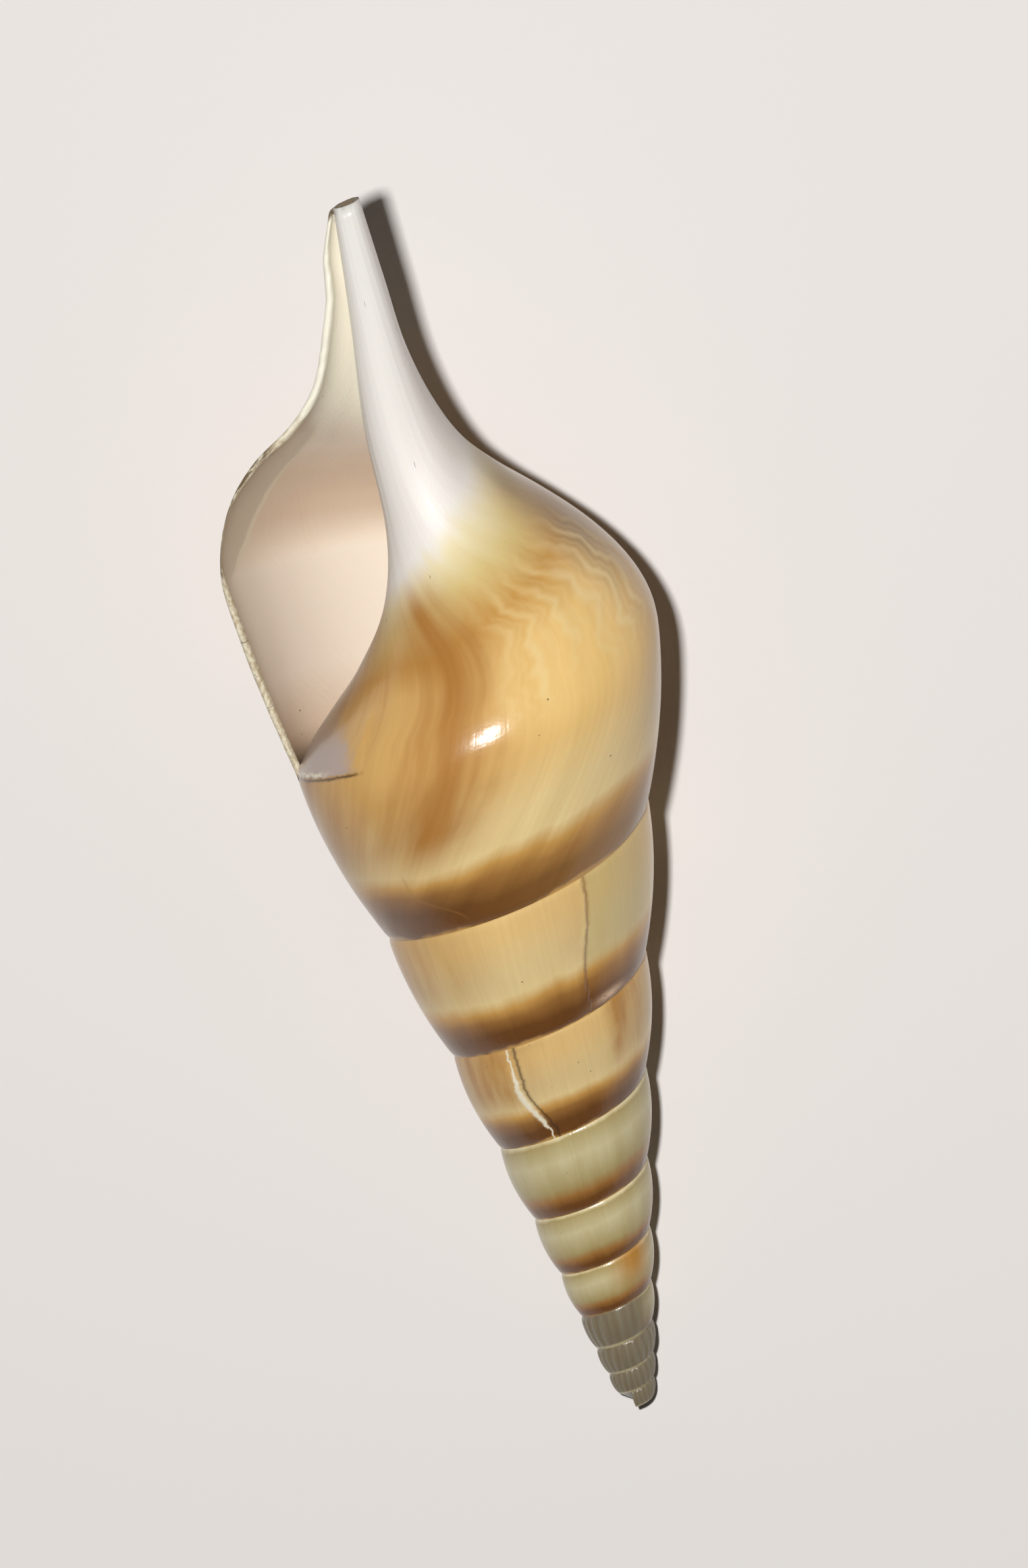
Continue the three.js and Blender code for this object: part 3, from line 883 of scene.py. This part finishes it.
    def with_glaze(self, colour):
        """The thin glaze beside the aperture, and the callus at its upper corner."""
        g = self.g
        ragged = g.times(g.math("SUBTRACT", self.fleck, 0.5), 0.012)
        wobble = g.noise(g.times(self.s, 14.0), g.times(self.turn, 30.0), 7.0)
        wobble = g.times(g.math("SUBTRACT", wobble, 0.5), 0.03)
        turn = g.math("ADD", self.turn, g.math("ADD", ragged, wobble))
        smoke = g.times(g.step(turn, -0.90, -0.985), g.between(self.s, 1.02, 1.5, 0.1))
        colour = g.mix(g.times(smoke, 0.75), colour, SMOKE)
        low, high = CALLUS["s"]
        s = g.math("ADD", self.s, ragged)
        rise = g.math("MAXIMUM", g.math("SUBTRACT", s, low), 0.0)
        turn = g.math("ADD", turn, g.times(rise, rise, CALLUS_LEAN))
        end = CALLUS["turns"][1]
        patch = g.times(g.step(turn, end, end - 0.03), g.step(s, low, low + 0.008))
        patch = g.times(patch, g.step(s, high, high - 0.16), g.step(self.turn, -1.3, -1.2))
        colour = g.mix(g.times(patch, 0.92), colour, LILAC)
        edge = g.times(g.bump_at(s, low - 0.006, 0.006), g.between(turn, -1.04, -0.86, 0.02))
        colour = g.mix(g.times(edge, 0.85), colour, SOOT)
        pale = g.bump_at(s, low + 0.014, 0.009)
        pale = g.times(pale, g.between(turn, -1.03, -0.9, 0.03), g.step(self.fleck, 0.35, 0.55))
        return g.mix(pale, colour, CHALK)

    def inside(self):
        """Beige within, a darker band painted in as shade at the shoulder's fold, and a line where
        the last growth began.
        """
        g = self.g
        s = g.math("ADD", self.s, g.times(g.math("SUBTRACT", self.wide, 0.5), 0.1))
        colour = g.ramp(s, INNER_ZONES, 0.0, 2.0)
        line = g.times(g.ramp(self.s, INNER_LINE, 0.0, 2.0), -0.1)
        beyond = g.step(self.turn, line, g.math("ADD", line, 0.008))
        beyond = g.times(beyond, g.between(self.s, 0.9, 1.45, 0.12))
        colour = g.mix(g.times(beyond, 0.75), colour, SHADE)
        ridge = g.times(g.bump_at(self.turn, line, 0.0035), g.between(self.s, 0.88, 1.42, 0.05))
        colour = g.mix(g.times(ridge, 0.85), colour, CHALK)
        colour = g.mix(g.times(g.step(self.s, 0.22, 0.0), 0.8), colour, SOOT)
        colour = g.mix(g.times(g.step(self.turn, -0.25, -0.7), 0.35), colour, ROSE)
        return g.mix(self.floor, colour, g.mix(0.5, BEIGE, SMOKE))

    def rim(self):
        """The broken edge: chalky, brown in the hollows, with a browner stretch at the bulge."""
        g = self.g
        chalk = g.noise(g.times(self.s, 44.0), g.times(self.floor, 2.0), 4.0, 3.0, 0.6)
        colour = g.mix(g.step(chalk, 0.35, 0.65), FRACTURE, CHALK)
        colour = g.mix(g.step(self.s, 1.3, 1.5), colour, IVORY)
        outer = g.times(g.step(self.floor, 0.75, 0.35), g.between(self.s, 0.93, 1.34, 0.06))
        colour = g.mix(g.times(outer, g.step(chalk, 0.75, 0.45)), colour, RIND)
        colour = g.mix(g.step(self.s, 0.06, 0.01), colour, SOOT)
        return g.mix(g.step(self.s, 1.97, 1.995), colour, g.mix(chalk, SMOKE, GREY))

    def specks(self):
        """A few dark pinpoints."""
        g = self.g
        place = self.stretched(60.0, 16.0)
        cells = g.tree.nodes.new("ShaderNodeTexVoronoi")
        cells.inputs["Scale"].default_value = 1.0
        g.tree.links.new(place, cells.inputs["Vector"])
        chosen = g.math("GREATER_THAN", self.channel(cells.outputs["Color"]), 0.93)
        return g.times(g.step(cells.outputs["Distance"], 0.10, 0.05), chosen, 0.8)

    def stretched(self, across, along):
        """Turn and s as a place, each scaled, with the kinds of place kept apart."""
        g = self.g
        combine = g.tree.nodes.new("ShaderNodeCombineXYZ")
        g.put(combine.inputs[0], g.times(self.turn, across))
        g.put(combine.inputs[1], g.times(self.s, along))
        g.put(combine.inputs[2], g.times(self.kind, 5.0))
        return combine.outputs[0]

    def channel(self, colour):
        """A colour's red."""
        node = self.g.tree.nodes.new("ShaderNodeSeparateColor")
        self.g.put(node.inputs[0], colour)
        return node.outputs[0]

    def finish(self):
        """Gloss, a little light let through, and fine unevenness."""
        g = self.g
        rough = g.math("ADD", g.times(self.streaks, 0.10), 0.17)
        rough = g.math("ADD", rough, g.times(g.step(self.kind, 0.3, 0.6), 0.10))
        rough = g.math("ADD", rough, g.times(g.between(self.s, 1.35, 1.8, 0.15), 0.28))
        rough = g.math("ADD", rough, g.times(g.step(self.kind, 1.4, 1.6), 0.28))
        g.put(g.shader.inputs["Roughness"], rough)
        g.shader.inputs["Coat Weight"].default_value = 0.12
        g.shader.inputs["Coat Roughness"].default_value = 0.08
        g.shader.inputs["Subsurface Weight"].default_value = 0.12
        g.shader.inputs["Subsurface Radius"].default_value = (1.0, 0.6, 0.35)
        g.shader.inputs["Subsurface Scale"].default_value = 0.0012
        height = g.math("ADD", g.times(self.threads, 0.6), g.times(self.fleck, 0.4))
        bump = g.tree.nodes.new("ShaderNodeBump")
        bump.inputs["Strength"].default_value = 0.22
        bump.inputs["Distance"].default_value = 0.00015
        g.put(bump.inputs["Height"], height)
        g.put(g.shader.inputs["Normal"], bump.outputs[0])


# ---- Camera, light and floor ----
VIEW_TILT = math.radians(17.5)  # how far the canal's end leans towards the camera
VIEW_TURN = math.radians(13.7)  # how far the axis leans left in the view
VIEW_CENTRE = (2.25, 63.95)  # across and along the axis, in mm
VIEW_HEIGHT = 0.1457
VIEW_DISTANCE = 3.0
FLOOR_SIZE = 3.0
FLOOR_COLOUR = (0.78, 0.74, 0.71, 1)
# Each light: places to the right, up and towards the camera, then its size and power.
KEY = ((-0.075, 0.03, 0.75), 0.035, 5.2)
FILL = ((0.4, -0.3, 0.8), 0.8, 0.16)
SURROUND = (1, 0.98, 0.96, 1)
SURROUND_STRENGTH = 0.028


def add_camera(offset):
    """The photograph's view. Returns what it aims at and its axes."""
    towards = Vector(laid([0, math.sin(VIEW_TILT), math.cos(VIEW_TILT)]))
    along = Vector(laid([0, math.cos(VIEW_TILT), -math.sin(VIEW_TILT)]))
    side = Vector(laid([1, 0, 0]))
    up = side * math.sin(VIEW_TURN) + along * math.cos(VIEW_TURN)
    right = side * math.cos(VIEW_TURN) - along * math.sin(VIEW_TURN)
    target = side * VIEW_CENTRE[0] + along * VIEW_CENTRE[1]
    target = (target + Vector(offset)) / 1000
    data = bpy.data.cameras.new("camera")
    data.lens = data.sensor_width * VIEW_DISTANCE / VIEW_HEIGHT
    camera = bpy.data.objects.new("camera", data)
    axes = Matrix((right, up, towards)).transposed().to_4x4()
    camera.matrix_world = Matrix.Translation(target + towards * VIEW_DISTANCE) @ axes
    bpy.context.collection.objects.link(camera)
    bpy.context.scene.camera = camera
    return target, right, up, towards


def add_floor():
    mesh = bpy.data.meshes.new("table")
    half = FLOOR_SIZE / 2
    corners = [(-half, -half, 0), (half, -half, 0), (half, half, 0), (-half, half, 0)]
    mesh.from_pydata(corners, [], [(0, 1, 2, 3)])
    table = bpy.data.objects.new("table", mesh)
    bpy.context.collection.objects.link(table)
    material = bpy.data.materials.new("table")
    material.use_nodes = True
    principled = material.node_tree.nodes["Principled BSDF"]
    principled.inputs["Base Color"].default_value = FLOOR_COLOUR
    principled.inputs["Roughness"].default_value = 0.6
    mesh.materials.append(material)


def add_light(name, target, axes, settings):
    """A square light aimed at the target."""
    steps_away, size, power = settings
    data = bpy.data.lights.new(name, "AREA")
    data.size = size
    data.energy = power
    light = bpy.data.objects.new(name, data)
    light.location = target + sum((axis * far for axis, far in zip(axes, steps_away)), Vector())
    light.rotation_euler = (target - light.location).to_track_quat("-Z", "Y").to_euler()
    bpy.context.collection.objects.link(light)


def add_lights(target, *axes):
    add_light("key", target, axes, KEY)
    add_light("fill", target, axes, FILL)
    world = bpy.data.worlds.new("studio")
    world.use_nodes = True
    background = world.node_tree.nodes["Background"]
    background.inputs["Color"].default_value = SURROUND
    background.inputs["Strength"].default_value = SURROUND_STRENGTH
    bpy.context.scene.world = world
    bpy.context.scene.view_settings.view_transform = "Standard"


# ---- Make it ----
shell, lie_offset = shell_mesh()
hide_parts("shell")
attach(shell, "root")

enamel = bpy.data.materials.new("enamel")
Enamel(enamel)
shell.data.materials.append(enamel)

add_floor()
add_lights(*add_camera(lie_offset))
